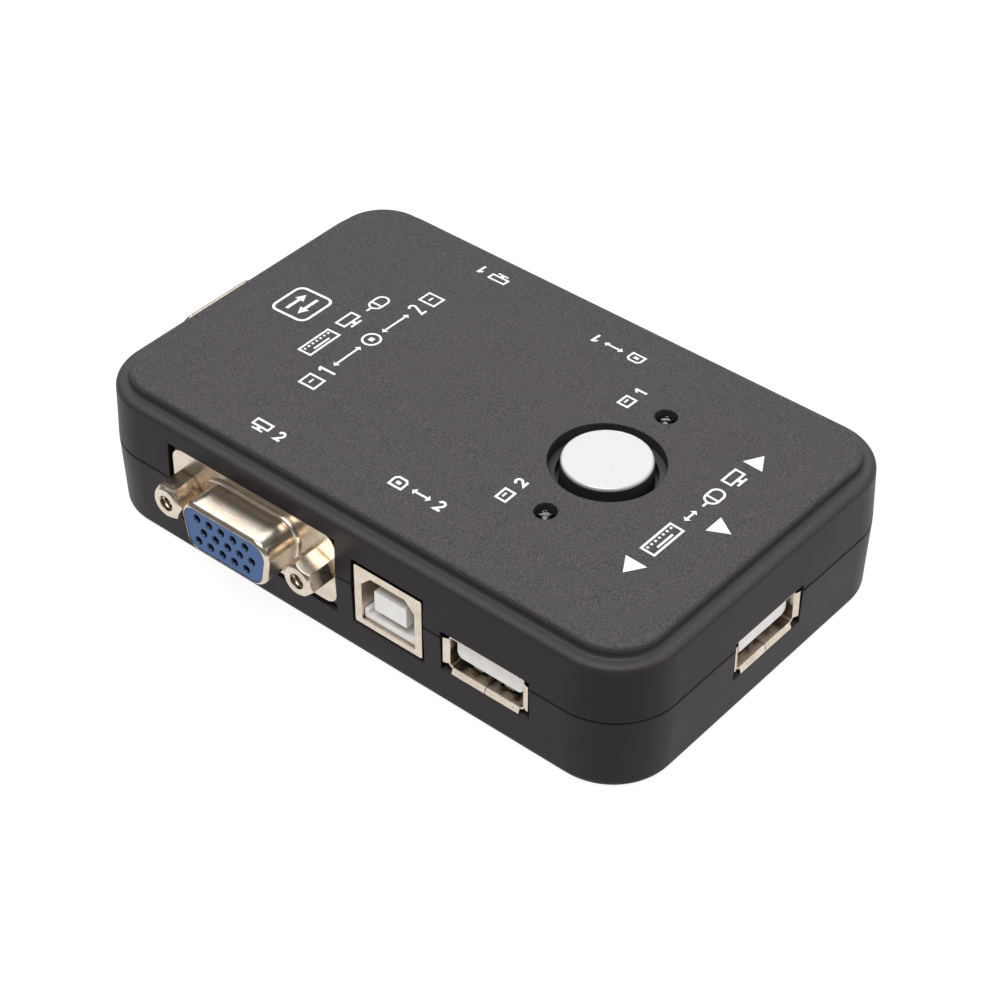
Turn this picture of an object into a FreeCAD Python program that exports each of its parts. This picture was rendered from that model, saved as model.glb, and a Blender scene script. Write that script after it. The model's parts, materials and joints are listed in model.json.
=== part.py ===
import FreeCAD, Part
import math
import os
import re

import Sketcher
from FreeCAD import Placement, Rotation, Vector

# A two-computer keyboard, video and mouse switch, in millimetres.
# The frame's origin is the centre of the case's underside, +Z is up, +X points to the end that
# has one flat data socket, and -X to the end that has the monitor socket.
# A connector is drawn in its own frame: its mouth looks along -Y, X runs across it, and Z = 0 is
# the upper face of the circuit board.

SIZES = {
    # case
    "case_length": 98.0,
    "case_width": 62.0,
    "case_corner": 10.0,
    "case_draft": 2.0,
    "wall": 2.0,
    "floor_height": 2.0,
    "parting_height": 12.15,
    "parting_gap": 0.4,
    "foot_round": 1.2,
    "shoulder_height": 21.45,
    "shoulder_round": 1.0,
    "deck_height": 23.15,
    "deck_inset": 2.45,
    "deck_corner": 7.3,
    "deck_crown": 1.43,
    "deck_cove": 0.5,
    "deck_edge": 0.7,
    "ceiling_height": 21.0,
    "ceiling_round": 3.0,
    "lip_inset": 1.1,
    "lip_rise": 1.2,
    "lip_play": 0.2,
    "pry_width": 1.5,
    "pry_rise": 0.35,
    "pry_offset": 8.2,
    # case screws, which clamp the board between the two covers
    "screw_x": 41.5,
    "screw_y": 23.0,
    "screw_shank": 1.3,
    "screw_length": 12.0,
    "screw_head": 2.4,
    "screw_head_height": 1.7,
    "screw_seat": 2.6,
    "screw_well": 2.7,
    "screw_slot": 0.7,
    "screw_play": 0.2,
    "close_fit": 0.02,
    "overshoot": 1.0,
    "port_depth": 8.0,
    "boss_radius": 3.4,
    "post_radius": 2.9,
    # circuit board
    "board_length": 92.0,
    "board_width": 56.0,
    "board_corner": 7.0,
    "board_bottom": 4.45,
    "board_top": 6.05,
    "tail_drop": 3.0,
    # select button and its switch
    "button_x": 20.9,
    "button_well": 8.2,
    "button_shelf": 22.3,
    "button_hole": 7.1,
    "sleeve_inner": 8.0,
    "sleeve_wall": 1.4,
    "sleeve_bottom": 17.0,
    "cap_top": 24.8,
    "cap_radius": 6.35,
    "cap_skirt": 6.6,
    "cap_edge": 0.3,
    "cap_wall": 1.2,
    "cap_flange": 7.7,
    "cap_flange_top": 20.9,
    "cap_flange_height": 1.2,
    "stem_radius": 2.9,
    "stem_bottom": 17.6,
    "switch_side": 8.5,
    "switch_height": 7.65,
    "switch_cavity": 3.6,
    "switch_cavity_depth": 5.65,
    "plunger_side": 3.2,
    "plunger_round": 0.4,
    "plunger_bottom": 10.2,
    "plunger_top": 21.8,
    "spring_radius": 2.55,
    "spring_wire": 0.2,
    "spring_turns": 4.0,
    "spring_play": 0.2,
    "terminal_width": 0.8,
    "terminal_thick": 0.3,
    "terminal_pitch": 2.5,
    # status lights
    "light_y": 13.1,
    "light_hole": 1.65,
    "light_radius": 1.45,
    "light_top": 23.75,
    "light_rim": 1.9,
    "light_rim_height": 1.0,
    "light_bottom": 18.7,
    "light_tube_inner": 2.1,
    "light_tube_outer": 2.75,
    "light_tube_bottom": 19.0,
    "light_lead": 0.5,
    "light_lead_pitch": 2.54,
    # 15-pin video sockets
    "video_x": -16.45,
    "video_recess": 0.2,
    "video_recess_back": 1.1,
    "video_recess_end": 0.6,
    "video_centre": 6.3,
    "video_flange_width": 30.8,
    "video_flange_height": 12.0,
    "video_flange_corner": 2.0,
    "video_flange_thick": 0.5,
    "video_cutout_width": 31.65,
    "video_cutout_shift": 0.375,
    "video_cutout_bottom": 5.4,
    "video_cutout_top": 18.42,
    "dshell_width": 16.3,
    "dshell_height": 8.1,
    "dshell_round": 2.6,
    "dshell_slant": 10.0,
    "dshell_reach": 5.8,
    "dshell_lip": 0.6,
    "dshell_lip_round": 0.8,
    "dshell_rim": 0.5,
    "dshell_skin": 0.4,
    "bead_spread": 0.9,
    "bead_rise": 0.5,
    "bead_round": 0.35,
    "insert_play": 0.05,
    "insert_recess": 0.15,
    "video_pin_pitch": 2.29,
    "video_row_pitch": 1.98,
    "video_row_shift": 1.145,
    "video_pin_radius": 0.4,
    "video_bore": 0.55,
    "video_funnel": 0.7,
    "video_funnel_depth": 0.25,
    "video_pin_front": 1.0,
    "video_first_row": 8.4,
    "video_tail_step": 2.54,
    "video_housing_depth": 7.0,
    "jack_spacing": 24.99,
    "jack_flats": 4.8,
    "jack_reach": 4.6,
    "jack_face": 2.2,
    "jack_bore": 1.25,
    "jack_bore_depth": 4.0,
    "jack_stud": 1.4,
    "jack_stud_length": 5.5,
    "jack_play": 0.1,
    "peg_radius": 1.4,
    "peg_depth": 5.0,
    # square data sockets, one for each computer
    "host_x": 8.5,
    "host_recess": 0.1,
    "host_width": 12.0,
    "host_height": 10.2,
    "host_lift": 0.05,
    "host_depth": 16.0,
    "host_skin": 0.35,
    "host_mouth_width": 9.5,
    "host_mouth_bottom": 1.05,
    "host_mouth_top": 9.0,
    "host_mouth_chamfer": 1.7,
    "host_sleeve_depth": 6.5,
    "host_cutout_width": 12.9,
    "host_cutout_shift": 0.12,
    "host_cutout_bottom": 5.4,
    "host_cutout_top": 16.8,
    "host_tray_recess": 0.5,
    "host_tray_wall": 0.7,
    "host_tray_side": 1.5,
    "host_cavity_depth": 9.0,
    "host_tongue_width": 5.7,
    "host_tongue_height": 3.3,
    "host_tongue_bottom": 3.4,
    "host_tongue_front": 0.5,
    "host_contact_width": 1.0,
    "host_contact_thick": 0.25,
    "host_contact_x": 1.25,
    "host_contact_front": 2.5,
    "host_tail_depth": 12.0,
    "host_tail_step": 2.0,
    "host_rear_open": 11.0,
    # flat data sockets, for keyboard and mouse
    "device_x": 25.4,
    "device_end_y": -0.2,
    "device_recess": 0.2,
    "device_centre": 4.0,
    "device_mouth_width": 12.5,
    "device_mouth_height": 5.12,
    "device_mouth_round": 0.6,
    "device_skin": 0.3,
    "device_depth": 13.7,
    "device_flare_out": 0.75,
    "device_flare_up": 0.3,
    "device_flare_depth": 0.3,
    "device_side_lip": 4.4,
    "device_long_lip": 11.5,
    "device_seam": 0.12,
    "device_cutout_width": 15.2,
    "device_cutout_bottom": 6.3,
    "device_cutout_top": 13.3,
    "device_block_front": 9.0,
    "device_block_width": 12.4,
    "device_tongue_width": 11.3,
    "device_tongue_height": 3.2,
    "device_tongue_gap": 0.36,
    "device_tongue_front": 1.1,
    "device_tongue_round": 1.0,
    "device_contact_width": 1.0,
    "device_contact_thick": 0.25,
    "device_contact_inner": 1.0,
    "device_contact_outer": 3.5,
    "device_contact_front": 2.0,
    "device_tail_depth": 11.5,
    "device_finger_x": 2.7,
    "device_finger_width": 1.6,
    "device_finger_root": 7.0,
    "device_finger_tip": 1.8,
    "device_finger_rise": 0.9,
    "device_dimple": 0.6,
    "device_window_width": 3.2,
    "tab_width": 2.4,
    "tab_depth": 7.2,
    "tab_hole": 1.35,
    # parts on the board
    "chip_length": 9.9,
    "chip_width": 3.9,
    "chip_height": 1.45,
    "chip_lift": 0.15,
    "chip_pitch": 1.27,
    "chip_lead_width": 0.42,
    "chip_lead_height": 0.8,
    "chip_lead_out": 0.45,
    "chip_foot_out": 0.65,
    "chip_foot_height": 0.2,
    "crystal_length": 11.2,
    "crystal_width": 4.6,
    "crystal_height": 3.5,
    "can_radius": 2.5,
    "can_height": 5.4,
    "can_base": 0.6,
    "small_length": 2.0,
    "small_width": 1.25,
    "resistor_height": 0.5,
    "capacitor_height": 0.9,
    "solder_play": 0.15,
}

QUARTER = 90
VIDEO_PINS_A_ROW = 5
CHIP_PINS_A_SIDE = 8
JACK_TURNS = {"-": -4, "+": 19}
TOUCH = 1e-3

doc = FreeCAD.newDocument("select_switch")
sheet = doc.addObject("Spreadsheet::Sheet", "sizes")
for row, (alias, size) in enumerate(SIZES.items(), start=1):
    sheet.set(f"A{row}", alias)
    sheet.set(f"B{row}", str(size))
    sheet.setAlias(f"B{row}", alias)
doc.recompute()

pieces = []


# ---- formulas -------------------------------------------------------------------------------

def formula(text):
    """A formula in plain alias names, with each alias turned into a reference to the sheet."""
    return re.sub(r"[a-z_]+", lambda word: f"sizes.{word[0]}" if word[0] in SIZES else word[0], text)


def size_of(text):
    return float(sheet.evalExpression(formula(text)))


def bind(target, name, text):
    target.setExpression(name, formula(text))


def bind_place(target, x, y, z, turn=None):
    """Turns an object, then ties its position to the sheet."""
    target.Placement = Placement(Vector(), turn or Rotation())
    for axis, text in zip("xyz", (x, y, z)):
        bind(target, f"Placement.Base.{axis}", text)


# ---- primitives and booleans ----------------------------------------------------------------

def box(x, y, z, length, width, height):
    """A block from its low corner."""
    block = doc.addObject("Part::Box", "block")
    for name, text in (("Length", length), ("Width", width), ("Height", height)):
        bind(block, name, text)
    bind_place(block, x, y, z)
    return block


def centred_box(x, y, z, length, width, height):
    """A block that stands on z, centred on x and y."""
    return box(f"{x} - ({length}) / 2", f"{y} - ({width}) / 2", z, length, width, height)


ALONG = {
    "x": Rotation(Vector(0, 1, 0), QUARTER),
    "y": Rotation(Vector(1, 0, 0), -QUARTER),
    "z": Rotation(),
}


def rod(axis, x, y, z, radius, length):
    """A cylinder that starts at a point and runs along +axis."""
    cylinder = doc.addObject("Part::Cylinder", "rod")
    bind(cylinder, "Radius", radius)
    bind(cylinder, "Height", length)
    bind_place(cylinder, x, y, z, ALONG[axis])
    return cylinder


def funnel(x, y, z, front, back, length):
    """A cone along +Y, from its front radius to its back radius."""
    cone = doc.addObject("Part::Cone", "funnel")
    bind(cone, "Radius1", front)
    bind(cone, "Radius2", back)
    bind(cone, "Height", length)
    bind_place(cone, x, y, z, ALONG["y"])
    return cone


def ball(x, y, z, radius):
    sphere = doc.addObject("Part::Sphere", "ball")
    bind(sphere, "Radius", radius)
    bind_place(sphere, x, y, z)
    return sphere


def hexagon(axis, x, y, z, flats, length, turn):
    """A hexagonal bar, turned about its own axis."""
    bar = doc.addObject("Part::Prism", "hexagon")
    bar.Polygon = 6
    bind(bar, "Circumradius", f"({flats}) / sqrt(3)")
    bind(bar, "Height", length)
    bind_place(bar, x, y, z, ALONG[axis].multiply(Rotation(Vector(0, 0, 1), turn)))
    return bar


def fuse(parts):
    joined = doc.addObject("Part::MultiFuse", "fuse")
    joined.Shapes = parts
    return joined


def group(parts):
    """Separate solids that share one node."""
    compound = doc.addObject("Part::Compound", "group")
    compound.Links = parts
    return compound


def cut(base, tool):
    result = doc.addObject("Part::Cut", "cut")
    result.Base = base
    result.Tool = tool
    return result


def common(first, second):
    """What two shapes share."""
    shared = doc.addObject("Part::Common", "common")
    shared.Base = first
    shared.Tool = second
    return shared


def piece(label, shape, place=None):
    """Names a finished sub-part, and moves it from its own frame to its place."""
    shape.Label = label
    if place:
        bind_place(shape, *place)
    pieces.append(shape)
    return shape


# ---- sketches and features ------------------------------------------------------------------

def new_body(name):
    return doc.addObject("PartDesign::Body", name)


def sketch_on(body, role, offset="0"):
    """A sketch on one of its body's origin planes, moved along the plane's normal."""
    plane = next(feature for feature in body.Origin.OriginFeatures if feature.Role == role)
    sketch = body.newObject("Sketcher::SketchObject", "sketch")
    sketch.AttachmentSupport = [(plane, "")]
    sketch.MapMode = "FlatFace"
    bind(sketch, "AttachmentOffset.Base.z", offset)
    return sketch


def fix_point(sketch, geometry, corner, point):
    """Ties a point of the sketch to its distances from the sketch's origin."""
    for kind, text in zip(("DistanceX", "DistanceY"), point):
        number = sketch.addConstraint(Sketcher.Constraint(kind, -1, 1, geometry, corner, size_of(text)))
        bind(sketch, f"Constraints[{number}]", text)


def fix_radius(sketch, geometry, radius):
    number = sketch.addConstraint(Sketcher.Constraint("Radius", geometry, size_of(radius)))
    bind(sketch, f"Constraints[{number}]", radius)


def rounded_outline(sketch, centres, radius):
    """A closed outline of equal corner arcs about the given centres, anticlockwise, and straight sides."""
    count = len(centres)
    first = sketch.GeometryCount
    spots = [Vector(size_of(x), size_of(y), 0) for x, y in centres]
    sides = [spots[(k + 1) % count] - spots[k] for k in range(count)]
    normals = [math.atan2(-side.x, side.y) for side in sides]
    reach = size_of(radius)
    for k, spot in enumerate(spots):
        circle = Part.Circle(spot, Vector(0, 0, 1), reach)
        sketch.addGeometry(Part.ArcOfCircle(circle, normals[k - 1], normals[k]), False)
    arcs = sketch.Geometry[first:first + count]
    for k in range(count):
        ends = arcs[k].EndPoint, arcs[(k + 1) % count].StartPoint
        sketch.addGeometry(Part.LineSegment(*ends), False)
    for k in range(count):
        arc, line, following = first + k, first + count + k, first + (k + 1) % count
        sketch.addConstraint(Sketcher.Constraint("Tangent", arc, 2, line, 1))
        sketch.addConstraint(Sketcher.Constraint("Tangent", line, 2, following, 1))
        if k:
            sketch.addConstraint(Sketcher.Constraint("Equal", first, arc))
        fix_point(sketch, arc, 3, centres[k])
    fix_radius(sketch, first, radius)


def rounded_rectangle(sketch, length, width, radius, x="0", y="0"):
    across, along = f"(({length}) / 2 - ({radius}))", f"(({width}) / 2 - ({radius}))"
    signs = (("+", "+"), ("-", "+"), ("-", "-"), ("+", "-"))
    rounded_outline(sketch, [(f"{x} {sx} {across}", f"{y} {sy} {along}") for sx, sy in signs], radius)


def polygon(sketch, points):
    """A closed outline of straight sides through the given points."""
    first = sketch.GeometryCount
    spots = [Vector(size_of(x), size_of(y), 0) for x, y in points]
    count = len(spots)
    for k in range(count):
        sketch.addGeometry(Part.LineSegment(spots[k], spots[(k + 1) % count]), False)
    for k in range(count):
        following = first + (k + 1) % count
        sketch.addConstraint(Sketcher.Constraint("Coincident", first + k, 2, following, 1))
        fix_point(sketch, first + k, 1, points[k])


def circle(sketch, x, y, radius):
    number = sketch.GeometryCount
    centre = Vector(size_of(x), size_of(y), 0)
    sketch.addGeometry(Part.Circle(centre, Vector(0, 0, 1), size_of(radius)), False)
    fix_point(sketch, number, 3, (x, y))
    fix_radius(sketch, number, radius)


def pad(body, sketch, length, taper=None, back=False, both_ways=False):
    feature = body.newObject("PartDesign::Pad", "pad")
    feature.Profile = sketch
    feature.Reversed = back
    feature.Midplane = both_ways
    bind(feature, "Length", length)
    if taper:
        bind(feature, "TaperAngle", taper)
    doc.recompute()
    return feature


def pocket(body, sketch, length, back=False):
    before = body.Shape.Volume
    feature = body.newObject("PartDesign::Pocket", "pocket")
    feature.Profile = sketch
    feature.Reversed = back
    bind(feature, "Length", length)
    doc.recompute()
    if feature.Shape.Volume >= before:
        raise ValueError(f"{body.Name}: a pocket removed nothing")
    return feature


def round_edges(body, radius, chosen):
    """Rounds the edges of the body's tip that the test picks."""
    base = body.Tip
    names = [f"Edge{k}" for k, edge in enumerate(base.Shape.Edges, start=1) if chosen(edge)]
    feature = body.newObject("PartDesign::Fillet", "round")
    feature.Base = (base, names)
    bind(feature, "Radius", radius)
    doc.recompute()
    return feature


def level(edge, height):
    """Whether an edge lies flat at this height."""
    limits = edge.BoundBox
    return abs(limits.ZMin - height) < TOUCH and abs(limits.ZMax - height) < TOUCH


def inside_inset(edge, inset):
    """Whether an edge keeps at least this far inside the case's outline."""
    limits = edge.BoundBox
    reach_x = size_of(f"case_length / 2 - {inset}") + TOUCH
    reach_y = size_of(f"case_width / 2 - {inset}") + TOUCH
    return max(limits.XMax, -limits.XMin) < reach_x and max(limits.YMax, -limits.YMin) < reach_y


# ---- places ---------------------------------------------------------------------------------

def facing(angle):
    """The turn that points a connector's mouth: 0 to -Y, 90 to +X, 180 to +Y, 270 to -X."""
    return Rotation(Vector(0, 0, 1), angle)


def side_place(x, recess, angle):
    """A connector in a long side of the case."""
    side = f"(case_width / 2 - {recess})"
    return (x, f"-{side}" if angle == 0 else side, "board_top", facing(angle))


VIDEO_PLACES = {
    "video_in_1": side_place("video_x", "video_recess_back", 180),
    "video_in_2": side_place("video_x", "video_recess", 0),
    "video_out": ("-(case_length / 2 - video_recess_end)", "0", "board_top", facing(270)),
}
HOST_PLACES = {
    "host_socket_1": side_place("host_x", "host_recess", 180),
    "host_socket_2": side_place("host_x", "host_recess", 0),
}
DEVICE_PLACES = {
    "device_socket_back": side_place("device_x", "device_recess", 180),
    "device_socket_front": side_place("device_x", "device_recess", 0),
    "device_socket_end": ("case_length / 2 - device_recess", "device_end_y", "board_top", facing(90)),
}
SCREW_SPOTS = [(f"{sx} screw_x", f"{sy} screw_y") for sx in "+-" for sy in "+-"]
LIGHT_SPOTS = {"light_1": "light_y", "light_2": "-light_y"}
DEVICE_TONGUE_BOTTOM = "(device_centre + device_mouth_height / 2 - device_tongue_gap - device_tongue_height)"


# ---- case -----------------------------------------------------------------------------------

def case_outline(sketch, inset, radius=None):
    rounded_rectangle(sketch, f"case_length - 2 * ({inset})", f"case_width - 2 * ({inset})",
                      radius or f"case_corner - ({inset})")


def port_openings():
    """The openings that the two covers share, cut through the walls from outside."""
    ports = [
        ("video_x - video_cutout_shift", "video_cutout_width", "video_cutout_bottom", "video_cutout_top"),
        ("host_x - host_cutout_shift", "host_cutout_width", "host_cutout_bottom", "host_cutout_top"),
        ("device_x", "device_cutout_width", "device_cutout_bottom", "device_cutout_top"),
    ]
    tools = []
    for side in "+-":
        wall = f"{side} (case_width / 2 + overshoot - port_depth / 2)"
        for x, across, low, high in ports:
            tools.append(centred_box(x, wall, low, across, "port_depth", f"{high} - {low}"))
    end = "(case_length / 2 + overshoot - port_depth / 2)"
    tools.append(centred_box(f"-{end}", "0", "video_cutout_bottom", "port_depth", "video_cutout_width",
                             "video_cutout_top - video_cutout_bottom"))
    tools.append(centred_box(end, "device_end_y", "device_cutout_bottom", "port_depth",
                             "device_cutout_width", "device_cutout_top - device_cutout_bottom"))
    return group(tools)


def crown_tool():
    """Everything above the deck's pillow-shaped surface, which is flat along its four straight edges."""
    half_length = size_of("case_length / 2 - deck_inset")
    half_width = size_of("case_width / 2 - deck_inset")
    edge, crown = size_of("deck_height"), size_of("deck_crown")
    surface = Part.BezierSurface()
    surface.increase(2, 2)
    for row in range(3):
        for column in range(3):
            rise = 4 * crown if row == 1 and column == 1 else 0
            pole = Vector((row - 1) * half_length, (column - 1) * half_width, edge + rise)
            surface.setPole(row + 1, column + 1, pole)
    tool = doc.addObject("Part::Feature", "above_deck")
    tool.Shape = surface.toShape().extrude(Vector(0, 0, 4 * crown))
    return tool


def top_cover(openings):
    """The upper shell: drafted walls, a rounded shoulder and a raised, crowned deck."""
    body = new_body("top_cover_body")
    joint = "(parting_height + parting_gap / 2)"
    shoulder, ceiling = size_of("shoulder_height"), size_of("ceiling_height")
    outline = sketch_on(body, "XY_Plane", joint)
    case_outline(outline, "0")
    pad(body, outline, f"shoulder_height - {joint}", taper="-case_draft")
    round_edges(body, "shoulder_round", lambda edge: level(edge, shoulder))
    deck = sketch_on(body, "XY_Plane", "shoulder_height")
    case_outline(deck, "deck_inset", "deck_corner")
    pad(body, deck, "deck_height + 2 * deck_crown - shoulder_height")
    round_edges(body, "deck_cove", lambda edge: level(edge, shoulder) and inside_inset(edge, "deck_inset"))

    cavity = sketch_on(body, "XY_Plane", joint)
    case_outline(cavity, "wall")
    pocket(body, cavity, f"ceiling_height - {joint}", back=True)
    round_edges(body, "ceiling_round", lambda edge: level(edge, ceiling) and inside_inset(edge, "wall"))
    rebate = sketch_on(body, "XY_Plane", joint)
    case_outline(rebate, "lip_inset - lip_play")
    pocket(body, rebate, "lip_rise + lip_play - parting_gap", back=True)

    posts = sketch_on(body, "XY_Plane", "board_top")
    for x, y in SCREW_SPOTS:
        circle(posts, x, y, "post_radius")
    pad(body, posts, "ceiling_height - board_top")
    sleeve = sketch_on(body, "XY_Plane", "sleeve_bottom")
    circle(sleeve, "button_x", "0", "sleeve_inner + sleeve_wall")
    pad(body, sleeve, "ceiling_height - sleeve_bottom")
    tubes = sketch_on(body, "XY_Plane", "light_tube_bottom")
    for y in LIGHT_SPOTS.values():
        circle(tubes, "button_x", y, "light_tube_outer")
    pad(body, tubes, "ceiling_height - light_tube_bottom")

    pilots = sketch_on(body, "XY_Plane", "board_top")
    for x, y in SCREW_SPOTS:
        circle(pilots, x, y, "screw_shank + close_fit")
    pocket(body, pilots, "screw_seat + screw_length - board_top + screw_play", back=True)
    guide = sketch_on(body, "XY_Plane", "sleeve_bottom")
    circle(guide, "button_x", "0", "sleeve_inner")
    pocket(body, guide, "ceiling_height - sleeve_bottom", back=True)
    rims = sketch_on(body, "XY_Plane", "light_tube_bottom")
    for y in LIGHT_SPOTS.values():
        circle(rims, "button_x", y, "light_tube_inner")
    pocket(body, rims, "ceiling_height - light_tube_bottom", back=True)
    holes = sketch_on(body, "XY_Plane", "ceiling_height")
    circle(holes, "button_x", "0", "button_hole")
    for y in LIGHT_SPOTS.values():
        circle(holes, "button_x", y, "light_hole")
    pocket(body, holes, "deck_height + 2 * deck_crown - ceiling_height", back=True)
    well = sketch_on(body, "XY_Plane", "button_shelf")
    circle(well, "button_x", "0", "button_well")
    pocket(body, well, "deck_height + 2 * deck_crown - button_shelf", back=True)

    notch = box("case_length / 2 - wall / 2", "device_end_y + pry_offset - pry_width / 2", "parting_height",
                "wall", "pry_width", "pry_rise")
    shell = cut(cut(cut(body, crown_tool()), openings), notch)
    doc.recompute()
    crest = size_of("deck_height")
    deck_top = [k for k, edge in enumerate(shell.Shape.Edges, start=1)
                if abs(edge.BoundBox.ZMin - crest) < size_of("deck_edge") and on_deck_outline(edge)]
    rounded = doc.addObject("Part::Fillet", "deck_edge")
    rounded.Base = shell
    rounded.Edges = [(k, size_of("deck_edge"), size_of("deck_edge")) for k in deck_top]
    return piece("top_cover", rounded)


def on_deck_outline(edge):
    """Whether an edge lies on the deck's outline, seen from above."""
    limits = edge.BoundBox
    reach_x, reach_y = size_of("case_length / 2 - deck_inset"), size_of("case_width / 2 - deck_inset")
    at_end = abs(max(limits.XMax, -limits.XMin) - reach_x) < TOUCH
    at_side = abs(max(limits.YMax, -limits.YMin) - reach_y) < TOUCH
    return at_end or at_side


def bottom_cover(openings):
    """The lower tray, with the lip that locates the upper shell and the screw bosses."""
    body = new_body("bottom_cover_body")
    joint = "(parting_height - parting_gap / 2)"
    foot = f"({joint} * tan(case_draft))"
    outline = sketch_on(body, "XY_Plane")
    case_outline(outline, foot)
    pad(body, outline, joint, taper="case_draft")
    round_edges(body, "foot_round", lambda edge: level(edge, 0))
    lip = sketch_on(body, "XY_Plane", "floor_height")
    case_outline(lip, "lip_inset")
    pad(body, lip, "parting_height + lip_rise - floor_height")
    cavity = sketch_on(body, "XY_Plane", "floor_height")
    case_outline(cavity, "wall")
    pocket(body, cavity, "case_width", back=True)

    bosses = sketch_on(body, "XY_Plane", "floor_height")
    wells = sketch_on(body, "XY_Plane")
    shanks = sketch_on(body, "XY_Plane")
    for x, y in SCREW_SPOTS:
        circle(bosses, x, y, "boss_radius")
        circle(wells, x, y, "screw_well")
        circle(shanks, x, y, "screw_shank + screw_play")
    pad(body, bosses, "board_bottom - floor_height")
    pocket(body, wells, "screw_seat", back=True)
    pocket(body, shanks, "board_bottom", back=True)
    return piece("bottom_cover", cut(body, openings))


def case_screws():
    """Four pan-head screws with a straight slot, driven up through the board into the upper posts."""
    underside = "(screw_seat - screw_head_height)"
    screws = []
    for x, y in SCREW_SPOTS:
        shank = rod("z", x, y, "screw_seat", "screw_shank", "screw_length")
        head = rod("z", x, y, underside, "screw_head", "screw_head_height")
        slot = centred_box(x, y, underside, "2 * screw_head", "screw_slot", "screw_slot")
        screws.append(cut(fuse([shank, head]), slot))
    return piece("case_screws", group(screws))


# ---- select button and switch ---------------------------------------------------------------

BUTTON_PLACE = ("button_x", "0", "0")


def select_button():
    """A round cap with a flange that keeps it under the well's shelf, and a stem that takes the plunger."""
    body = new_body("select_button")
    half = sketch_on(body, "XZ_Plane")
    flange_foot = "cap_flange_top - cap_flange_height"
    inner = "cap_skirt - cap_wall"
    polygon(half, [
        ("0", "stem_bottom"), ("stem_radius", "stem_bottom"), ("stem_radius", "cap_top - cap_wall"),
        (inner, "cap_top - cap_wall"), (inner, flange_foot), ("cap_flange", flange_foot),
        ("cap_flange", "cap_flange_top"), ("cap_skirt", "cap_flange_top"), ("cap_radius", "cap_top"),
        ("0", "cap_top"),
    ])
    turned = body.newObject("PartDesign::Revolution", "turned")
    turned.Profile = half
    turned.ReferenceAxis = (half, ["V_Axis"])
    doc.recompute()
    top = size_of("cap_top")
    round_edges(body, "cap_edge", lambda edge: level(edge, top))
    socket = sketch_on(body, "XY_Plane", "stem_bottom")
    side = "plunger_side + 2 * close_fit"
    rounded_rectangle(socket, side, side, "plunger_round")
    pocket(body, socket, "plunger_top - stem_bottom", back=True)
    return piece("select_button", body, BUTTON_PLACE)


def switch_housing():
    case = centred_box("0", "0", "board_top", "switch_side", "switch_side", "switch_height")
    cavity = centred_box("0", "0", "board_top + switch_height - switch_cavity_depth",
                         "switch_cavity", "switch_cavity", "switch_cavity_depth + overshoot")
    return piece("switch_housing", cut(case, cavity), BUTTON_PLACE)


def switch_plunger():
    body = new_body("switch_plunger")
    square = sketch_on(body, "XY_Plane", "plunger_bottom")
    rounded_rectangle(square, "plunger_side", "plunger_side", "plunger_round")
    pad(body, square, "plunger_top - plunger_bottom")
    return piece("switch_plunger", body, BUTTON_PLACE)


def switch_spring():
    """A return spring between the switch's top and the button's stem."""
    low = "(board_top + switch_height + spring_wire + spring_play)"
    height = f"(stem_bottom - spring_wire - spring_play - {low})"
    helix = doc.addObject("Part::Helix", "helix")
    bind(helix, "Radius", "spring_radius")
    bind(helix, "Height", height)
    bind(helix, "Pitch", f"{height} / spring_turns")
    bind_place(helix, "0", "0", low)
    wire = doc.addObject("Part::Circle", "wire")
    bind(wire, "Radius", "spring_wire")
    bind_place(wire, "spring_radius", "0", low, Rotation(Vector(1, 0, 0), QUARTER))
    doc.recompute()
    coil = doc.addObject("Part::Sweep", "coil")
    coil.Sections = [wire]
    coil.Spine = (helix, [f"Edge{k}" for k in range(1, len(helix.Shape.Edges) + 1)])
    coil.Solid = True
    coil.Frenet = True
    return piece("switch_spring", coil, BUTTON_PLACE)


def terminal_spots():
    """Where the switch's six legs stand, in two rows."""
    return [(f"{column} * terminal_pitch", f"{side} terminal_pitch")
            for column in (-1, 0, 1) for side in "+-"]


def switch_terminals():
    legs = [centred_box(x, y, "board_top - tail_drop", "terminal_width", "terminal_thick", "tail_drop")
            for x, y in terminal_spots()]
    return piece("switch_terminals", group(legs), BUTTON_PLACE)


# ---- status lights --------------------------------------------------------------------------

def status_light(name, y):
    """A clear dome-ended light with a rim, on two long leads."""
    lens = fuse([
        rod("z", "0", "0", "light_bottom", "light_rim", "light_rim_height"),
        rod("z", "0", "0", "light_bottom", "light_radius", "light_top - light_radius - light_bottom"),
        ball("0", "0", "light_top - light_radius", "light_radius"),
    ])
    leads = [centred_box(f"{side} light_lead_pitch / 2", "0", "board_top - tail_drop",
                         "light_lead", "light_lead", "light_bottom - board_top + tail_drop")
             for side in "+-"]
    place = ("button_x", y, "0")
    piece(f"{name}_lens", lens, place)
    piece(f"{name}_leads", group(leads), place)


# ---- video sockets --------------------------------------------------------------------------

def d_outline(sketch, radius):
    """The tapered outline of a video plug, wide side up; the radius sets how far it reaches."""
    rise = "(dshell_height / 2 - dshell_round)"
    wide = "(dshell_width / 2 - dshell_round)"
    narrow = f"({wide} - 2 * {rise} * tan(dshell_slant))"
    rounded_outline(sketch, [
        (wide, f"video_centre + {rise}"), (f"-{wide}", f"video_centre + {rise}"),
        (f"-{narrow}", f"video_centre - {rise}"), (narrow, f"video_centre - {rise}"),
    ], radius)


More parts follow.
